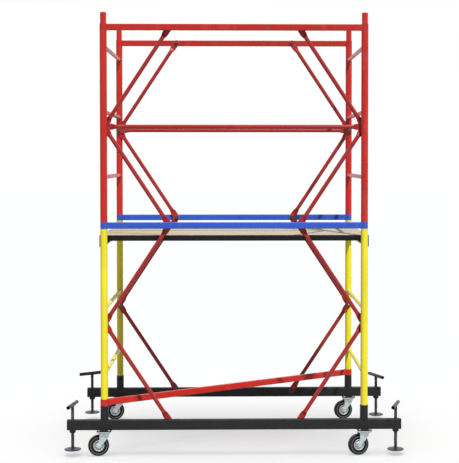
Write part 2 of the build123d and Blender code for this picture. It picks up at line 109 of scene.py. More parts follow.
nodes, links = world.node_tree.nodes, world.node_tree.links
nodes.clear()
lighting = nodes.new("ShaderNodeBackground")
backdrop = nodes.new("ShaderNodeBackground")
either = nodes.new("ShaderNodeMixShader")
lighting.inputs["Color"].default_value = (1, 0.92, 0.88, 1)
lighting.inputs["Strength"].default_value = fill_level
backdrop.inputs["Color"].default_value = (1, 1, 1, 1)
links.new(seen_rays(world.node_tree), either.inputs[0])
links.new(lighting.outputs[0], either.inputs[1])
links.new(backdrop.outputs[0], either.inputs[2])
links.new(either.outputs[0], nodes.new("ShaderNodeOutputWorld").inputs["Surface"])
print("fill level", fill_level)


# %% Lamps
def lamp(name, kind, place, target, colour=(1, 1, 1), **settings):
    """A lamp at place, turned so that its own -Z axis points at target."""
    data = bpy.data.lights.new(name, kind)
    data.color = colour
    for setting, value in settings.items():
        setattr(data, setting, value)
    obj = bpy.data.objects.new(name, data)
    bpy.context.scene.collection.objects.link(obj)
    obj.location = place
    obj.rotation_euler = (Vector(target) - Vector(place)).to_track_quat("-Z", "Y").to_euler()
    return obj


warm, pale_green = (1, 0.985, 0.955), (0.95, 1, 0.94)
key = lamp("key", "SUN", (2.9, -7.5, 10.0), (0, 0, 0), warm, energy=3.3, angle=radians(2))
overhead = lamp("overhead", "SUN", (0, -0.6, 6.0), (0, 0, 0), pale_green, energy=1.25, angle=radians(45))

# %% Floor
floor_half, floor_grey, floor_glow = 60.0, 0.8, 0.525
floor_mesh = bpy.data.meshes.new("floor")
floor_corners = [(x * floor_half, y * floor_half, 0) for x, y in ((-1, -1), (1, -1), (1, 1), (-1, 1))]
floor_mesh.from_pydata(floor_corners, [], [(0, 1, 2, 3)])
floor = bpy.data.objects.new("floor", floor_mesh)
bpy.context.scene.collection.objects.link(floor)
for source, state in ((key, "EXCLUDE"), (overhead, "INCLUDE")):
    flagged = bpy.data.collections.new(f"{source.name}_on_the_floor")
    flagged.objects.link(floor)
    source.light_linking.receiver_collection = flagged
    flagged.collection_objects[0].light_linking.link_state = state

floor_paint = bpy.data.materials.new("studio_floor")
floor_paint.use_nodes = True
nodes, links = floor_paint.node_tree.nodes, floor_paint.node_tree.links
nodes.clear()
matt = nodes.new("ShaderNodeBsdfDiffuse")
matt.inputs["Color"].default_value = (floor_grey, floor_grey, floor_grey, 1)
glow = nodes.new("ShaderNodeEmission")
glow.inputs["Color"].default_value = (0.985, 1, 1.05, 1)
lift = nodes.new("ShaderNodeMath")
lift.operation = "MULTIPLY"
lift.inputs[1].default_value = floor_glow
links.new(seen_rays(floor_paint.node_tree), lift.inputs[0])
links.new(lift.outputs[0], glow.inputs["Strength"])
both = nodes.new("ShaderNodeAddShader")
links.new(matt.outputs[0], both.inputs[0])
links.new(glow.outputs[0], both.inputs[1])
links.new(both.outputs[0], nodes.new("ShaderNodeOutputMaterial").inputs["Surface"])
floor_mesh.materials.append(floor_paint)
bpy.context.scene.view_settings.view_transform = "Standard"
print("floor", 2 * floor_half, "m square")

# %% [markdown]
# ## Writing finishes as node trees
#
# Every finish here is procedural: colour, gloss and bump come from noise that is read at the
# point's own coordinates on the object, so it stays put when a wheel turns or the camera moves.
# A few small helpers keep the trees readable: they add a node and fill or link its inputs, start a
# material around the Principled shader, read noise, stretch it to a range, and mix or lighten colours.


# %% Node helpers
def add_node(tree, kind, inputs=None, **settings):
    """A shader node with its settings; an input given as a socket is linked, any other is set."""
    new = tree.nodes.new("ShaderNode" + kind)
    for name, value in settings.items():
        setattr(new, name, value)
    for name, value in (inputs or {}).items():
        if isinstance(value, bpy.types.NodeSocket):
            tree.links.new(value, new.inputs[name])
        else:
            new.inputs[name].default_value = value
    return new


def new_material(name, **shader):
    """A material, its tree and its Principled shader; shader gives the plain socket values."""
    material = bpy.data.materials.new(name)
    material.use_nodes = True
    tree = material.node_tree
    tree.nodes.clear()
    surface = add_node(tree, "BsdfPrincipled", {k.replace("_", " "): v for k, v in shader.items()})
    add_node(tree, "OutputMaterial", {"Surface": surface.outputs[0]})
    return material, tree, surface


def noise(tree, place, scale, detail=3.0, stretch=(1, 1, 1)):
    """Noise between 0 and 1 at a point, its pattern drawn out where stretch is under 1."""
    place = add_node(tree, "Mapping", {"Vector": place, "Scale": stretch}).outputs[0]
    return add_node(tree, "TexNoise", {"Vector": place, "Scale": scale, "Detail": detail}).outputs["Fac"]


def spread(tree, value, start, end, low=0.0, high=1.0):
    """Maps start..end of a value to low..high, clamped outside."""
    inputs = {"Value": value, "From Min": start, "From Max": end, "To Min": low, "To Max": high}
    return add_node(tree, "MapRange", inputs).outputs[0]


def mix_colour(tree, amount, first, second):
    """From the first colour to the second as amount goes from 0 to 1.

    The Mix node holds a set of sockets for each data type; its colours are inputs 6 and 7, output 2.
    """
    return add_node(tree, "Mix", {0: amount, 6: first, 7: second}, data_type="RGBA").outputs[2]


def multiply(tree, first, second):
    """The product of two values."""
    return add_node(tree, "Math", {0: first, 1: second}, operation="MULTIPLY").outputs[0]


def larger(tree, first, second):
    """The larger of two values."""
    return add_node(tree, "Math", {0: first, 1: second}, operation="MAXIMUM").outputs[0]


def attribute(tree, name):
    """A number that the mesh carries at each of its points, and 0 where it carries none."""
    return add_node(tree, "Attribute", attribute_name=name).outputs["Fac"]


def object_place(tree):
    """The point's own coordinates on the object, in metres."""
    return add_node(tree, "TexCoord").outputs["Object"]


def bump(tree, height, distance, strength=1.0, normal=None):
    """A bump that stands distance metres high where height is 1."""
    inputs = {"Height": height, "Distance": distance, "Strength": strength}
    if normal is not None:
        inputs["Normal"] = normal
    return add_node(tree, "Bump", inputs).outputs["Normal"]


def shade(colour, factor):
    """A colour made lighter or darker."""
    return (*(min(1.0, c * factor) for c in colour[:3]), 1.0)


# %% [markdown]
# ## Powder coat
#
# The tubes are dipped in a cloud of charged plastic powder and baked. The skin is thick, fairly
# glossy and never quite flat: it has an orange peel of one or two millimetres, slightly thinner
# colour in places, dull patches where hands and straps rub, and pin-sized chips down to grey steel
# where the ends knock together. A plain colour with one roughness misses all of that, so each of
# those is one noise at its own scale. The red parts come in three tones: the frames are the
# brightest, the top rails a little deeper, a painted shade for light that fades towards the top of
# the tower, and the braces and mid rails the deepest.


# %% Powder coat
def powder_coat(name, colour, rough=0.3, specular=0.3, chips=0.74, rub=0.05):
    """A baked paint: drifting colour, dull rubbed patches, orange peel and a few small chips.

    chips is the noise above which the paint is gone, and rub is how far rubbed patches turn grey.
    """
    material, tree, paint = new_material(name, IOR=1.5, Specular_IOR_Level=specular)
    place = object_place(tree)
    drift = spread(tree, noise(tree, place, 2.4), 0.3, 0.7)
    coat = mix_colour(tree, drift, shade(colour, 0.9), shade(colour, 1.06))
    rubbed = spread(tree, noise(tree, place, 17, detail=5, stretch=(1, 1, 0.35)), 0.56, 0.72)
    coat = mix_colour(tree, multiply(tree, rubbed, rub), coat, rubbed_grey)
    chip = spread(tree, noise(tree, place, 95, detail=4), chips, chips + 0.02)
    scraped = spread(tree, noise(tree, place, 160, detail=4, stretch=(1, 1, 0.3)), 0.44, 0.6)
    bare = larger(tree, chip, multiply(tree, attribute(tree, "wear_and_painted_light"), scraped))
    tree.links.new(mix_colour(tree, bare, coat, bare_steel), paint.inputs["Base Color"])
    dull = spread(tree, noise(tree, place, 30, detail=4), 0.3, 0.75, rough - 0.06, rough + 0.12)
    tree.links.new(dull, paint.inputs["Roughness"])
    peel = bump(tree, noise(tree, place, 620, detail=2), distance=0.00003)
    edge = bump(tree, bare, distance=-0.00008, strength=0.6, normal=peel)
    tree.links.new(edge, paint.inputs["Normal"])
    return material


rubbed_grey, bare_steel = (0.5, 0.5, 0.5, 1), (0.3, 0.29, 0.28, 1)
finishes = {
    "red_paint": powder_coat("red_powder_coat", (0.61, 0.024, 0.016), specular=0.27),
    # the top rails' deeper red is painted shade: light that fades towards the top of the tower
    "painted_shade_rail_red": powder_coat("rail_red_powder_coat", (0.52, 0.023, 0.018), specular=0.27),
    "brace_red": powder_coat("brace_red_powder_coat", (0.39, 0.022, 0.021), specular=0.27),
    "yellow_paint": powder_coat("yellow_powder_coat", (0.94, 0.83, 0.03)),
    "blue_paint": powder_coat("blue_powder_coat", (0.029, 0.11, 0.62)),
    # near black with a faint blue tint, a painted reflection of blue sky light on its top faces
    "base_paint": powder_coat(
        "black_powder_coat", (0.0125, 0.0128, 0.015), rough=0.52, specular=0.25, chips=0.76, rub=0.008),
    "jack_steel": powder_coat(
        "jack_black_paint", (0.016, 0.020, 0.026), rough=0.32, specular=0.35, chips=0.7),
    # dark paint whose blue-grey tint is a painted reflection of blue sky light
    "foot_steel": powder_coat("foot_paint_with_painted_blue_reflection", (0.025, 0.034, 0.052), specular=0.4, chips=0.7),
}
print("paints:", list(finishes))

# %% [markdown]
# ## Zinc, rubber, plastic and dark steel
#
# Pressed caster parts are zinc plated: a pale, faintly blue metal whose gloss changes in soft
# clouds, with hairline marks from the press. Fasteners are phosphated, nearly black and dull. The
# solid tyres are matt rubber that picks up dust, with a pale painted highlight on a ring on each
# side, and the plugs in the beam ends are plain moulded polyethylene with a fine grain.


# %% Metals
def plated_steel(name, colour, rough, metal):
    """Bare or plated steel: clouds in the colour and the gloss, and fine marks in the bump. Marks that a
    mesh carries take the colour towards near black: a painted shade.
    """
    material, tree, skin = new_material(name, Metallic=metal)
    place = object_place(tree)
    cloud = spread(tree, noise(tree, place, 38, detail=4), 0.3, 0.7)
    plate = mix_colour(tree, cloud, shade(colour, 0.86), shade(colour, 1.08))
    # marks that a mesh carries darken the plate: painted shade in a rim's pockets
    tree.links.new(mix_colour(tree, attribute(tree, "wear_and_painted_light"), plate, painted_shade_black), skin.inputs["Base Color"])
    patch = spread(tree, noise(tree, place, 75, detail=5), 0.3, 0.7, rough - 0.08, rough + 0.12)
    tree.links.new(patch, skin.inputs["Roughness"])
    marks = noise(tree, place, 900, stretch=(1, 0.2, 1))
    tree.links.new(bump(tree, marks, distance=0.00001), skin.inputs["Normal"])
    return material


# near black, for the painted shade in a rim's pockets and at the foot of its flange
painted_shade_black = (0.02, 0.02, 0.021, 1)
finishes["zinc"] = plated_steel("zinc_plate", (0.55, 0.61, 0.625), rough=0.46, metal=0.75)
finishes["dark_steel"] = plated_steel("phosphated_steel", (0.055, 0.052, 0.055), rough=0.5, metal=0.6)


# %% Rubber and plastic
def moulded(name, colour, dust_and_highlight, rough, specular=0.4):
    """A moulded skin: matt, a little dusty, with the fine grain of its mould. Marks that a mesh carries
    take the pale colour: dusty grey and painted highlight on a tyre's tread, a painted highlight on its ring.
    """
    material, tree, skin = new_material(name, Specular_IOR_Level=specular)
    place = object_place(tree)
    dust_film_and_highlight = spread(tree, noise(tree, place, 26, detail=5), 0.42, 0.8, 0, 0.12)
    # marks a mesh carries: dusty grey and painted highlight on a tyre's tread, a painted highlight on its ring
    dust_film_and_highlight = larger(tree, dust_film_and_highlight, attribute(tree, "wear_and_painted_light"))
    tree.links.new(mix_colour(tree, dust_film_and_highlight, colour, dust_and_highlight), skin.inputs["Base Color"])
    tree.links.new(spread(tree, dust_film_and_highlight, 0, 1, rough, rough + 0.2), skin.inputs["Roughness"])
    tree.links.new(bump(tree, noise(tree, place, 1100, detail=2), distance=0.00004), skin.inputs["Normal"])
    return material


finishes["tyre_rubber"] = moulded(
    "tyre_rubber", (0.005, 0.0055, 0.006, 1), dust_and_highlight=(0.17, 0.175, 0.175, 1), rough=0.5, specular=0.12)
finishes["plug_plastic"] = moulded(
    "plug_plastic", (0.010, 0.010, 0.011, 1), dust_and_highlight=(0.02, 0.02, 0.021, 1), rough=0.42)
print("finishes:", len(finishes))

# %% [markdown]
# ## Plywood
#
# The deck is raw birch plywood, so its top shows rotary-cut veneer: long flames that run with the
# deck, pale against slightly darker bands, with thin fibres and now and then a small pin knot. The
# flames are noise drawn out nearly thirty times along X. The edge of the sheet, where it shows, has
# dark glue lines between the plies, which depend on height alone.


# %% Plywood
def plywood(name, pale, dark):
    """Rotary-cut veneer along X, with fibres, pin knots and the glue lines of its plies."""
    material, tree, sheet = new_material(name, Specular_IOR_Level=0.25)
    place = object_place(tree)
    warp = noise(tree, place, 1.3, detail=2, stretch=(0.6, 1, 1))
    bands = noise(tree, place, 26, stretch=(0.035, 1, 0))
    fibres = noise(tree, place, 420, stretch=(0.018, 1, 0))
    flame = add_node(tree, "Math", {0: bands, 1: multiply(tree, warp, 0.5)}, operation="ADD").outputs[0]
    wood = mix_colour(tree, spread(tree, flame, 0.55, 0.95), pale, dark)
    wood = mix_colour(tree, spread(tree, fibres, 0.45, 0.8, 0, 0.35), wood, shade(dark, 0.72))
    flat_place = add_node(tree, "Mapping", {"Vector": place, "Scale": (0.55, 1, 0)}).outputs[0]
    cells = add_node(tree, "TexVoronoi", {"Vector": flat_place, "Scale": 4.2})
    knot = spread(tree, cells.outputs["Distance"], 0.018, 0.045, 1, 0)
    wood = mix_colour(tree, multiply(tree, knot, 0.75), wood, knot_brown)
    height = add_node(tree, "SeparateXYZ", {0: place}).outputs["Z"]
    plies = add_node(tree, "Math", {0: multiply(tree, height, 1 / ply)}, operation="FRACT").outputs[0]
    side = add_node(tree, "SeparateXYZ", {0: add_node(tree, "NewGeometry").outputs["Normal"]}).outputs["Z"]
    upright = spread(tree, add_node(tree, "Math", {0: side}, operation="ABSOLUTE").outputs[0], 0.4, 0.6, 1, 0)
    glue = multiply(tree, spread(tree, plies, 0.86, 0.9), upright)
    tree.links.new(mix_colour(tree, glue, wood, glue_brown), sheet.inputs["Base Color"])
    tree.links.new(spread(tree, fibres, 0.3, 0.8, 0.55, 0.78), sheet.inputs["Roughness"])
    tree.links.new(bump(tree, fibres, distance=0.00012), sheet.inputs["Normal"])
    return material


ply = 0.0024  # metres of veneer between two glue lines
knot_brown, glue_brown = (0.16, 0.085, 0.04, 1), (0.22, 0.13, 0.07, 1)
finishes["plywood"] = plywood("birch_plywood", pale=(0.66, 0.60, 0.475, 1), dark=(0.55, 0.47, 0.34, 1))
print("ply", ply, "m")

# %% Paint the CAD nodes
slot_of = {part["node"]: part["material_slot"] for part in frame["record"]["subparts"]}
painted_shade_top_rails = {"top_rail_front": "painted_shade_rail_red", "top_rail_rear": "painted_shade_rail_red"}  # a deeper red, painted shade for light that fades towards the top of the tower
for node_name, obj in frame["nodes"].items():
    obj.data.materials.clear()
    obj.data.materials.append(finishes[painted_shade_top_rails.get(node_name, slot_of[node_name])])
slots = list(slot_of.values())
print("nodes of each finish:", {slot: slots.count(slot) for slot in sorted(set(slots))})

# %% [markdown]
# ## Surfaces as arrays
#
# A new piece starts as a function of two parameters, worked out on a whole grid of points at once.
# The rows of the grid run along the piece and the columns round it. Most shapes here come from
# three ideas: an outline turned about an axis, a section carried along a path, and a tube whose
# section changes on the way. The helpers below join such a grid into faces, close its ends, round
# the corners of an outline, and put the finished surface in its place on the tower.


# %% Mesh helpers
def skin(points, closed_rows=False):
    """A grid of points, shape (rows, columns, 3), as (points, face blocks).

    The faces are quads round the columns and along the rows, with a lid on each end unless the rows
    close on themselves.
    """
    rows, columns = points.shape[:2]
    index = np.arange(rows * columns).reshape(rows, columns)
    ring = np.hstack([index, index[:, :1]])
    ring = np.vstack([ring, ring[:1]]) if closed_rows else ring
    quads = np.stack([ring[:-1, :-1], ring[:-1, 1:], ring[1:, 1:], ring[1:, :-1]], -1).reshape(-1, 4)
    lids = [] if closed_rows else [index[:1, ::-1], index[-1:]]
    return points.reshape(-1, 3), [quads, *lids]


def turned(outline, segments=64, closed=False):
    """An outline of (radius r, height h) turned about Z: at angle t a point is (r cos t, r sin t, h)."""
    r, h = np.asarray(outline, float).T
    t = np.linspace(0, 2 * pi, segments, endpoint=False)
    across = [np.outer(r, np.cos(t)), np.outer(r, np.sin(t)), np.repeat(h[:, None], segments, 1)]
    return skin(np.stack(across, -1), closed)


def eased(outline, radius, steps=4):
    """Rounds corners: c becomes (1-t)^2 a + 2t(1-t) c + t^2 b, with a and b radius away on its sides.

    A corner never takes more than 0.48 of a side, so two of them can't meet.
    """
    c = np.asarray(outline, float)
    r = np.broadcast_to(np.asarray(radius, float), len(c))[:, None]
    sides = [np.roll(c, 1, 0) - c, np.roll(c, -1, 0) - c]
    a, b = (c + side * np.minimum(r / np.linalg.norm(side, axis=1, keepdims=True), 0.48) for side in sides)
    t = np.linspace(0, 1, steps + 1)[None, :, None]
    curve = (1 - t) ** 2 * a[:, None] + 2 * t * (1 - t) * c[:, None] + t**2 * b[:, None]
    return curve.reshape(-1, c.shape[1])


def unit(vector):
    """A vector, or each row of an array of them, scaled to length 1."""
    vector = np.asarray(vector, float)
    return vector / np.linalg.norm(vector, axis=-1, keepdims=True)


def placed(surface, origin, along=(1, 0, 0), up=(0, 0, 1)):
    """Moves a surface so that its own X runs along, its own Z runs up, and its zero is at origin."""
    along, up = unit(along), unit(up)
    points, blocks = surface
    return points @ np.array([along, np.cross(up, along), up]) + np.asarray(origin, float), blocks


def build(name, surfaces, slot, body, stands_for=(), crease=35, wear_and_painted_light=None, finish=None):
    """Joins closed surfaces into one object with a finish, and lets it ride on a body.

    Where it stands for CAD nodes, it replaces them. crease is the angle, in degrees, above which an
    edge is shaded sharp. The marks say how worn each point is, and on a rim and a tyre how much painted
    shade and painted highlight it carries: a number each, or a function of the points.
    """
    starts = np.cumsum([0] + [len(points) for points, _ in surfaces])
    points = np.concatenate([points for points, _ in surfaces])
    blocks = [block + start for start, (_, own) in zip(starts, surfaces) for block in own]
    faces = [face for block in blocks for face in block.tolist()]
    mesh = bpy.data.meshes.new(name)
    mesh.from_pydata(points, [], faces)
    # marks: wear on paint and threads, painted shade in rims and a painted highlight on tyre rings
    if wear_and_painted_light is not None:
        marks_layer = mesh.attributes.new("wear_and_painted_light", "FLOAT", "POINT")
        marks_layer.data.foreach_set("value", np.asarray(wear_and_painted_light(points) if callable(wear_and_painted_light) else wear_and_painted_light, np.float32))
    work = bmesh.new()
    work.from_mesh(mesh)
    bmesh.ops.remove_doubles(work, verts=work.verts, dist=2e-6)
    bmesh.ops.recalc_face_normals(work, faces=work.faces)
    work.to_mesh(mesh)
    work.free()
    mesh.shade_smooth()
    mesh.set_sharp_from_angle(angle=radians(crease))
    mesh.materials.append(finishes[finish or slot])
    obj = bpy.data.objects.new(name, mesh)
    bpy.context.scene.collection.objects.link(obj)
    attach(obj, body)
    if stands_for:
        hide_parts(*stands_for)
    print(f"{name}: {len(mesh.polygons)} faces on {body}")
    return obj


# %% [markdown]
# ## Braces and mid rails: round tubes pressed flat at the ends
#
# Each brace is one round tube. A press squeezes its last few centimetres flat, which makes them
# wider than the tube, because the wall keeps its length, and the end is then rounded off and
# drilled for the bolt. A loft between a circle and a rectangle creases here. Instead the section
# is one superellipse all the way: its half width, half thickness and squareness slide together
# from those of the tube to those of the flat, so the shoulder swells as the real one does.

# %% Places on the tower
post_r = 0.0212
low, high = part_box("lower_frame_right")
half_length, half_width = (low.x + high.x) / 2, high.y - post_r
frame_height = high.z - low.z
feet = {"lower": low.z, "upper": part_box("upper_frame_right")[0].z}
rail_z = {"platform": sum(v.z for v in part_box("platform_rail_front")) / 2,
          "top": sum(v.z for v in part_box("top_rail_front")) / 2}
stud_z = {level: foot + frame_height / 2 for level, foot in feet.items()}
ends, sides = {"front": -1, "rear": 1}, {"left": -1, "right": 1}
corners = {}
for end, y in ends.items():
    for side, x in sides.items():
        corners[f"{end}_{side}"] = (x * half_length, y * half_width)
brace_seat = 0.023  # from a post's axis to the seat of its pressed ends
brace_t = 0.004  # thickness of a pressed end
brace_reach = 0.389  # from a post's axis along the rail to the brace's other bolt
brace_rise = rail_z["platform"] - stud_z["lower"]
print("post centres", round(half_length, 4), round(half_width, 4))
print("studs at", {level: round(z, 4) for level, z in stud_z.items()}, "rise", round(brace_rise, 4))


# %% Pressed tubes
def pressed_tube(length, radius=0.0125, flat=(0.019, 0.002), press=0.040, shoulder=0.034, columns=32):
    """A tube along X between bolts at 0 and length, pressed flat at both ends.

    With d the distance from the nearer bolt and s = u^2(3-2u), u = (d-press)/shoulder, the half
    width and half thickness go from flat to the radius as s goes from 0 to 1; past the bolt the
    half width is the half chord sqrt(w^2-d^2). Round the section the point is
    (b sgn(sin t)|sin t|^(2/n), a sgn(cos t)|cos t|^(2/n)) with n from 6 at the flat to 2 at the tube.
    """
    width, thick = flat
    end = -width * np.cos(np.linspace(0, pi / 2, 10))
    station = np.concatenate([end, [press * 0.5, press * 0.9], press + shoulder * np.linspace(0.04, 1, 16)])
    x = np.concatenate([station, (length - station)[::-1]])
    d = np.minimum(x, length - x)
    u = np.clip((d - press) / shoulder, 0, 1)
    s = u**2 * (3 - 2 * u)
    a = np.where(d < 0, np.sqrt(np.maximum(width**2 - d**2, 0)), width + (radius - width) * s)
    b, n = thick + (radius - thick) * s, 6 - 4 * s
    t = np.linspace(0, 2 * pi, columns, endpoint=False)
    power = 2 / n[:, None]
    y = b[:, None] * np.sign(np.sin(t)) * np.abs(np.sin(t)) ** power
    z = a[:, None] * np.sign(np.cos(t)) * np.abs(np.cos(t)) ** power
    return skin(np.stack([np.repeat(x[:, None], columns, 1), y, z], -1))


def layer_y(end, layer):
    """Middle of a layer of pressed ends, counted inward from the seat on the post's stud."""
    return ends[end] * (half_width - brace_seat - (layer + 0.5) * brace_t)


def near_bolts(points):
    """Wear: paint is rubbed through close to the bolts, where the pressed ends turn on each other.

    With g the distance from the nearest bolt in mm, it is 0.5 clip((26 - g) / 12, 0, 1).
    """
    on_posts = [(0, z) for z in stud_z.values()]
    on_rails = [(brace_reach, z) for z in (*rail_z.values(), stud_z["lower"] - brace_rise)]
    bolts = [(x * (half_length - reach), z) for x in (-1, 1) for reach, z in on_posts + on_rails]
    gap = np.min([np.hypot(points[:, 0] - x, points[:, 2] - z) for x, z in bolts], axis=0)
    return 0.5 * np.clip((0.026 - gap) / 0.012, 0, 1)


brace = pressed_tube(hypot(brace_reach, brace_rise))
for level in feet:
    for end in ends:
        group = []
        for x in sides.values():
            for layer, slope in ((0, -1), (1, 1)):
                heading = (-x * brace_reach, 0, slope * brace_rise)
                across = np.cross(heading, (0, 1, 0))
                bolt = (x * half_length, layer_y(end, layer), stud_z[level])
                group.append(placed(brace, bolt, heading, across))
        build(f"pressed_braces_{level}_{end}", group, "red_paint", "tower", [f"{level}_braces_{end}"],
              wear_and_painted_light=near_bolts, finish="brace_red")
for end in ends:
    rail = placed(pressed_tube(2 * half_length), (-half_length, layer_y(end, 2), stud_z["upper"]))
    build(f"pressed_mid_rail_{end}", [rail], "red_paint", "tower", [f"mid_rail_{end}"],
          wear_and_painted_light=near_bolts, finish="brace_red")

# %% [markdown]
# ## Screw jacks
#
# Four screws take the load off the wheels. Each has a square-shouldered thread, a round foot
# pressed from plate that swivels on its end, and a length of tube welded across the top to turn it
# with. The thread is a small trapezium wound up a helix and laid on a plain core, so that it keeps
# clean flanks at any zoom, where a bump texture would blur. The foot is an outline turned about
# the screw, with a rolled edge and a raised middle.

# %% Screws, handles and feet
pitch, crest, root, cap_r = 0.004, 0.0100, 0.0084, 0.0097
handle_r, handle_bore, handle_half = 0.011, 0.0085, 0.090
handle_above = 0.266  # from the top of the foot's plate to the handle's axis
handle_yaw = {"front_left": 81, "front_right": 72, "rear_left": 32, "rear_right": -66}  # degrees from X
plate_t = 0.004
cap_length = 0.022  # plain top of the screw, between the thread and the handle
thread_gap = 0.004  # from the foot's boss up to the first turn
sunk = 0.0015  # how far the core goes into the handle's wall
seam_r, seam_size = 0.0104, 0.0015  # the weld between screw and handle


def thread(low, high, steps=24):
    """The raised thread: a closed trapezium of (radius, height) that climbs a helix.

    At angle u its middle stands at height low + pitch u / 2pi. It reaches 0.36 of the pitch to
    either side at its base, which lies 0.6 mm inside the core, and 0.15 at the crest, and it sinks
    into the core over the first and last half turn.
    """
    u = np.linspace(0, 2 * pi * (high - low) / pitch, round((high - low) / pitch * steps) + 1)
    fade = np.clip(np.minimum(u, u[-1] - u) / pi, 0, 1)[:, None]
    inner = root - 0.0006
    r = inner + (np.array([0, crest - inner, crest - inner, 0]) * fade)
    h = low + pitch * (u[:, None] / (2 * pi) + np.array([-0.36, -0.15, 0.15, 0.36]))
    return skin(np.stack([r * np.cos(u)[:, None], r * np.sin(u)[:, None], h], -1))


def bead(path, outward, size, taper=False, steps=8):
    """A weld bead: a round section carried along a closed path, or with taper along an open one.

    Its radius at point k is size (1 + 0.16 sin(1.9 k)), like the ripples of a welder's hand, and a
    tapered bead thins out at both ends. outward points away from the joint at each point of the path.
    """
    path, outward = np.asarray(path, float), unit(outward)
    tangent = unit(np.gradient(path, axis=0) if taper else np.roll(path, -1, 0) - np.roll(path, 1, 0))
    across = unit(np.cross(tangent, outward))
    out = np.cross(across, tangent)
    k = np.arange(len(path))
    r = size * (1 + 0.16 * np.sin(k * 1.9))
    if taper:
        r = r * np.sqrt(np.clip(np.sin(pi * k / k[-1]), 0, 1) * 6).clip(0, 1)
    t = np.linspace(0, 2 * pi, steps, endpoint=False)
    ring = np.cos(t)[None, :, None] * out[:, None] + np.sin(t)[None, :, None] * across[:, None]
    return skin(path[:, None] + r[:, None, None] * ring, closed_rows=not taper)


def crossing(yaw, height):
    """The bead where the upright screw meets the level handle at this height.

    A point of the ring of radius seam_r that is c from the handle's axis lies sqrt(handle_r^2 - c^2)
    below the axis; c^2 stops at 110 mm^2, so that the ring's sides end just under the axis.
    """
    ring = seam_r * np.stack([np.cos(round_t), np.sin(round_t)], -1)
    c = ring @ np.array([-sin(yaw), cos(yaw)])
    path = np.column_stack([ring, height - np.sqrt(handle_r**2 - np.minimum(c**2, 0.00011))])
    return bead(path, np.column_stack([ring, np.full(len(ring), -0.006)]), seam_size)


round_t = np.linspace(0, 2 * pi, 40, endpoint=False)
tube_wall = [(handle_bore, -handle_half), (handle_r, -handle_half), (handle_r, handle_half),
             (handle_bore, handle_half)]
handle = turned(eased(tube_wall, 0.0008), segments=48, closed=True)
foot_outline = [(0, 0.0022), (0.0440, 0.0022), (0.0450, 0), (0.0488, 0), (0.050, 0.0014), (0.050, 0.0046),
                (0.0480, 0.0060), (0.0440, 0.0062), (0.0240, 0.0098), (0.0178, 0.0112), (0.0150, 0.013),
                (0.0101, 0.013), (0.0101, 0.0042), (0, 0.0042)]
foot_ease = [0, 0.001, 0.0008, 0.001, 0.001, 0.0012, 0.0012, 0.004, 0.005, 0.002, 0.001, 0.0006, 0, 0]
foot = turned(eased(foot_outline, foot_ease), segments=72)
jacks = {}
for corner in corners:
    foot_low, foot_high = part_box(f"jack_foot_{corner}")
    x, y = (foot_low.x + foot_high.x) / 2, (foot_low.y + foot_high.y) / 2
    jacks[corner] = (x, y)
    plate_top = foot_low.z + plate_t
    handle_z = plate_top + handle_above
    neck = handle_z - handle_r - cap_length
    core_low, core_high = plate_top + 0.0005, handle_z - handle_r + sunk
    core_outline = [(0, core_low), (root, core_low), (root, neck), (cap_r, neck + 0.002), (cap_r, core_high),
                    (0, core_high)]
    core = turned(eased(core_outline, [0, 0, 0.0005, 0.0005, 0, 0]), segments=40)
    wound = thread(foot_high.z + thread_gap, neck - 0.001)
    yaw = radians(handle_yaw[corner])
    bar = placed(handle, (0, 0, handle_z), (0, 0, 1), (cos(yaw), sin(yaw), 0))
    screw = [placed(part, (x, y, 0)) for part in (core, wound, bar, crossing(yaw, handle_z))]

    def on_crest(p, x=x, y=y, top=neck):
        """Wear: below the neck, the crest of the thread is rubbed bright."""
        return 0.55 * (np.abs(np.hypot(p[:, 0] - x, p[:, 1] - y) - crest) < 1e-4) * (p[:, 2] < top)

    build(f"threaded_screw_{corner}", screw, "jack_steel", f"screw_{corner}", [f"jack_screw_{corner}"],
          wear_and_painted_light=on_crest)
    build(f"pressed_foot_{corner}", [placed(foot, (x, y, foot_low.z))], "foot_steel", f"foot_{corner}",
          [f"jack_foot_{corner}"])

# %% [markdown]
# ## Wheels
#
# The tyre is solid rubber with rounded shoulders, a shallow step and a thin raised ring on each
# side, and that ring carries a pale painted highlight. The rim is pressed from sheet: a bright rolled
# flange, a dish with a ring of pockets that stiffen it, and the hub; painted shade darkens the
# pockets and the foot of the flange. Both are outlines turned about the axle, and the pockets are
# one more term that depends on the angle.


# %% Tyres and rims
def mirrored(half):
    """An outline of (radius, offset) continued with its mirror image on the other side of the wheel."""
    half = np.asarray(half, float)
    return np.vstack([half, half[::-1] * (1, -1)])


tyre_half = [(0.0330, 0.0148), (0.0345, 0.0166), (0.0430, 0.0168), (0.0446, 0.0158), (0.0462, 0.0158),
             (0.0474, 0.0176), (0.0500, 0.0178), (0.0536, 0.0176), (0.0618, 0.0150), (0.0625, 0.0040)]
tyre_ease = [0.0006, 0.0008, 0.0006, 0.0005, 0.0005, 0.0008, 0.001, 0.004, 0.006, 0.003]
rim_half = [(0.0331, 0.0130), (0.0331, 0.0152), (0.0316, 0.0160), (0.0292, 0.0156), (0.0270, 0.0118),
            (0.0250, 0.0112), (0.0242, 0.0111), (0.0216, 0.0110), (0.0190, 0.0110), (0.0182, 0.0111),
            (0.0168, 0.0118), (0.0140, 0.0150), (0.0128, 0.0166), (0.0124, 0.0202), (0.0061, 0.0202)]
rim_ease = [0.0004, 0.0008, 0.0008, 0.001, 0.0012, 0.0004, 0.0003, 0.001, 0.0003, 0.0004, 0.001, 0.001,
            0.0008, 0.0006, 0.0004]
pocket_r, pocket_half, pocket_depth = 0.0216, 0.0034, 0.0045
flange_foot_r, tread_r, ring_r = 0.0272, 0.0612, 0.0492


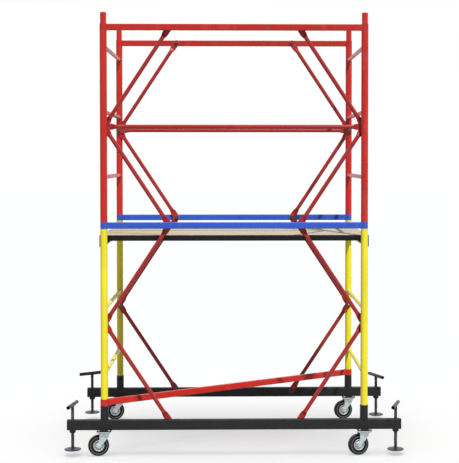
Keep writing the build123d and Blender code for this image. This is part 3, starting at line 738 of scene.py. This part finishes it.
def pocketed_rim(pockets=12, segments=192):
    """The rim's outline turned about Z, with a ring of pockets pressed into the dish.

    A pocket's share k is clip(2.5 cos(pockets t) + 0.9, 0, 1) round the rim, times
    clip((pocket_half - |r - pocket_r|) / 0.0008, 0, 1) across it, and it is k pocket_depth deep.
    Returns the surface and its painted shade, which is deep in the pockets and light at the flange's foot.
    """
    outline = eased(mirrored(rim_half), [*rim_ease, *rim_ease[::-1]], steps=3)
    points, blocks = turned(outline, segments, closed=True)
    r, t = np.hypot(points[:, 0], points[:, 1]), np.arctan2(points[:, 1], points[:, 0])
    around = np.clip(2.5 * np.cos(pockets * t) + 0.9, 0, 1)
    k = around * np.clip((pocket_half - np.abs(r - pocket_r)) / 0.0008, 0, 1)
    points[:, 2] -= np.sign(points[:, 2]) * pocket_depth * k
    # a lighter painted shade where the flange meets the dish
    at_flange = np.clip(1 - np.abs(r - flange_foot_r) / 0.0012, 0, 1)
    return (points, blocks), np.maximum(0.92 * k, 0.55 * at_flange)


joints = {joint["name"]: joint for joint in frame["joints"]}
tyre_outline = eased(mirrored(tyre_half), [*tyre_ease, *tyre_ease[::-1]], steps=5)
tyre = turned(tyre_outline, segments=96, closed=True)
rim, rim_painted_shade = pocketed_rim()
for corner in corners:
    hub, axis = (np.array(joints[f"wheel_spin_{corner}"][k]) for k in ("pos_m", "axis"))

    def tread_dust_and_ring_highlight(p, hub=hub, axis=axis):
        """Marks: the tread is a dusty grey that is partly a painted highlight, and the raised ring on the side is
        a pale painted highlight.
        """
        offset = (p - hub) @ axis
        r = np.linalg.norm(p - hub - offset[:, None] * axis, axis=1)
        return 0.42 * np.clip((r - tread_r) / 0.001, 0, 1) + 0.85 * (np.abs(r - ring_r) < 0.0022)

    # the tyre's tread is dusty grey and partly a painted highlight, and its side ring is a painted highlight
    build(f"solid_tyre_{corner}", [placed(tyre, hub, (0, 0, 1), axis)], "tyre_rubber", f"wheel_{corner}",
          [f"caster_tyre_{corner}"], crease=50, wear_and_painted_light=tread_dust_and_ring_highlight)
    # the rim's marks are painted shade in its pockets and at the foot of its flange
    build(f"pressed_rim_{corner}", [placed(rim, hub, (0, 0, 1), axis)], "zinc", f"wheel_{corner}",
          [f"caster_rim_{corner}"], wear_and_painted_light=rim_painted_shade)

# %% [markdown]
# ## Edges that catch the light
#
# Plates are sheared and their burrs ground off, and square tube has round corners, so no long edge
# on the real tower is truly sharp. A CAD edge is, and it gives no highlight. Each such node gets a
# copy whose triangles are merged into whole faces, and a Bevel modifier rounds only the edges that
# carry a weight: those that are sharp and long. Short edges, round a bolt hole, stay crisp.


# %% Softened copies
sharp = radians(35)


def softened(node, body, width, least=0.008, segments=3):
    """Stands for a CAD node with a copy whose sharp edges, if longer than least, are rounded by width."""
    mesh = bpy.data.meshes.new(f"softened_{node}")
    work = bmesh.new()
    work.from_mesh(frame["nodes"][node].data)
    bmesh.ops.remove_doubles(work, verts=work.verts, dist=1e-6)
    bmesh.ops.dissolve_limit(work, angle_limit=radians(0.5), verts=work.verts, edges=work.edges)
    weight = work.edges.layers.float.new("bevel_weight_edge")
    for edge in work.edges:
        long_enough = edge.is_manifold and edge.calc_length() > least
        edge[weight] = long_enough and edge.calc_face_angle() > sharp
    work.to_mesh(mesh)
    work.free()
    if "custom_normal" in mesh.attributes:
        mesh.attributes.remove(mesh.attributes["custom_normal"])
    mesh.shade_smooth()
    mesh.set_sharp_from_angle(angle=sharp)
    mesh.materials.clear()
    mesh.materials.append(finishes[slot_of[node]])
    obj = bpy.data.objects.new(mesh.name, mesh)
    bpy.context.scene.collection.objects.link(obj)
    bevel = obj.modifiers.new("rounded_edges", "BEVEL")
    bevel.width, bevel.segments, bevel.limit_method = width, segments, "WEIGHT"
    bevel.harden_normals = True
    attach(obj, body)
    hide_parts(node)
    return obj


soft = [softened("deck_frame", "deck", width=0.0022, least=0.03),
        softened("deck_hooks", "deck", width=0.0008),
        softened("caster_top_plates", "tower", width=0.0006, least=0.02),
        softened("caster_pads", "tower", width=0.0006, least=0.02)]
for corner in corners:
    soft.append(softened(f"caster_fork_{corner}", f"fork_{corner}", width=0.0006, least=0.006))
print("softened:", [obj.name for obj in soft])

# %% [markdown]
# ## Weld beads
#
# Nearly every joint of the tower is welded before it is painted, and the bead under the paint is
# what says so. Where a rung meets a post, the seam is the curve in which two cylinders cross: at
# angle t round the rung it lies sqrt(R^2 - (r cos t)^2) from the post's axis. Collars, sockets,
# bosses and pads get a plain ring or a straight run. Beads of one colour make one piece.

# %% Seams
rung_r, stud_r, nut_r = 0.0125, 0.011, 0.0185
socket_r = 0.02415  # of the post sockets and of the plan brace's collars
wide_bead, stud_bead, nut_bead, rail_bead = 0.0026, 0.002, 0.0022, 0.0024  # radii
rail_depth, rail_height = 0.025, 0.038
rung_offsets = (0.268, 0.658, 1.048)  # heights above the foot of a ladder frame


def ring_seam(centre, radius, axis, size, curved=0.0):
    """A closed ring round a level axis along Y, or round an upright one.

    With curved, it lies on a post of that radius whose own axis is Z: its distance from the post's
    axis is sqrt(curved^2 - (r cos t)^2).
    """
    axis = np.asarray(axis, float)
    side = np.array([1.0, 0, 0])
    flat = radius * (np.cos(round_t)[:, None] * side + np.sin(round_t)[:, None] * np.cross(axis, side))
    depth = np.sqrt(curved**2 - flat[:, 0] ** 2) if curved else np.zeros(len(round_t))
    path = np.asarray(centre, float) + flat + depth[:, None] * axis
    return bead(path, flat + 1e-4 * axis, size)


def run_seam(start, end, outward, size):
    """A straight bead that thins out at both ends."""
    t = np.linspace(0, 1, max(12, round(np.linalg.norm(np.subtract(end, start)) / 0.003)))[:, None]
    path = (1 - t) * np.asarray(start, float) + t * np.asarray(end, float)
    return bead(path, np.broadcast_to(np.asarray(outward, float), path.shape), size, taper=True)


def bar_seam(centre, heading, radius=post_r):
    """Round the end of a flat-sided rail on its collar.

    The rail's outline is |2v/rail_depth|^8 + |2w/rail_height|^8 = 1, with v across it and w up, and
    it lies sqrt(radius^2 - v^2) from the collar's axis.
    """
    heading = unit((*heading, 0))
    side = np.array([-heading[1], heading[0], 0])
    c, d = np.cos(round_t), np.sin(round_t)
    v = 0.5 * rail_depth * np.sign(c) * np.abs(c) ** 0.25
    w = 0.5 * rail_height * np.sign(d) * np.abs(d) ** 0.25
    outline = v[:, None] * side + w[:, None] * np.array([0, 0, 1])
    along = np.sqrt(radius**2 - v**2)
    return bead(np.asarray(centre, float) + along[:, None] * heading + outline, outline, rail_bead)


beads = {"red_paint": [], "yellow_paint": [], "blue_paint": [], "base_paint": []}
for x, y in corners.values():
    inward = np.array([0, -np.sign(y), 0])
    rail_x, rail_y = x - np.sign(x) * brace_reach, y - np.sign(y) * rail_depth / 2
    for level, foot_z in feet.items():
        seams = beads["yellow_paint" if level == "lower" else "red_paint"]
        for offset in rung_offsets:
            seams.append(ring_seam((x, y, foot_z + offset), rung_r, inward, wide_bead, curved=post_r))
        seams.append(ring_seam((x, y, stud_z[level]), stud_r, inward, stud_bead, curved=post_r))
    for rail, colour in (("platform", "blue_paint"), ("top", "red_paint")):
        beads[colour].append(bar_seam((x, y, rail_z[rail]), (-np.sign(x), 0)))
        beads[colour].append(ring_seam((rail_x, rail_y, rail_z[rail]), stud_r, inward, stud_bead))

plan_z = sum(v.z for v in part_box("plan_brace")) / 2
(x0, y0), (x1, y1) = corners["front_left"], corners["rear_right"]
beads["red_paint"].append(bar_seam((x0, y0, plan_z), (x1 - x0, y1 - y0), radius=socket_r))
beads["red_paint"].append(bar_seam((x1, y1, plan_z), (x0 - x1, y0 - y1), radius=socket_r))
print({colour: len(seams) for colour, seams in beads.items()})

# %% Seams on the base
beam_bottom = sum(v.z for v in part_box("caster_pads")) / 2 + 0.002
beam_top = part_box("post_sockets")[0].z
beam_half, pad_half = 0.020, 0.036
arc_t = np.linspace(-0.30 * pi, 0.30 * pi, 24)
seams = beads["base_paint"]
for x, y in corners.values():
    for side in (-1, 1):
        across, along = side * socket_r * np.cos(arc_t), socket_r * np.sin(arc_t)
        arc = np.column_stack([x + across, y + along, np.full(len(arc_t), beam_top)])
        seams.append(bead(arc, arc - (x, y, beam_top - 1e-4), wide_bead, taper=True))
        start, end = ((x + reach, y + side * beam_half, beam_bottom) for reach in (-pad_half, pad_half))
        seams.append(run_seam(start, end, (0, side, -0.4), wide_bead))
    stud = (x - np.sign(x) * brace_reach, y - np.sign(y) * beam_half, stud_z["lower"] - brace_rise)
    seams.append(ring_seam(stud, stud_r, (0, -np.sign(y), 0), stud_bead))
for x, y in jacks.values():
    seams.append(ring_seam((x, y, beam_bottom), nut_r, (0, 0, -1), nut_bead))
for slot, seams in beads.items():
    build(f"weld_beads_{slot.split('_')[0]}", seams, slot, "tower", crease=80)
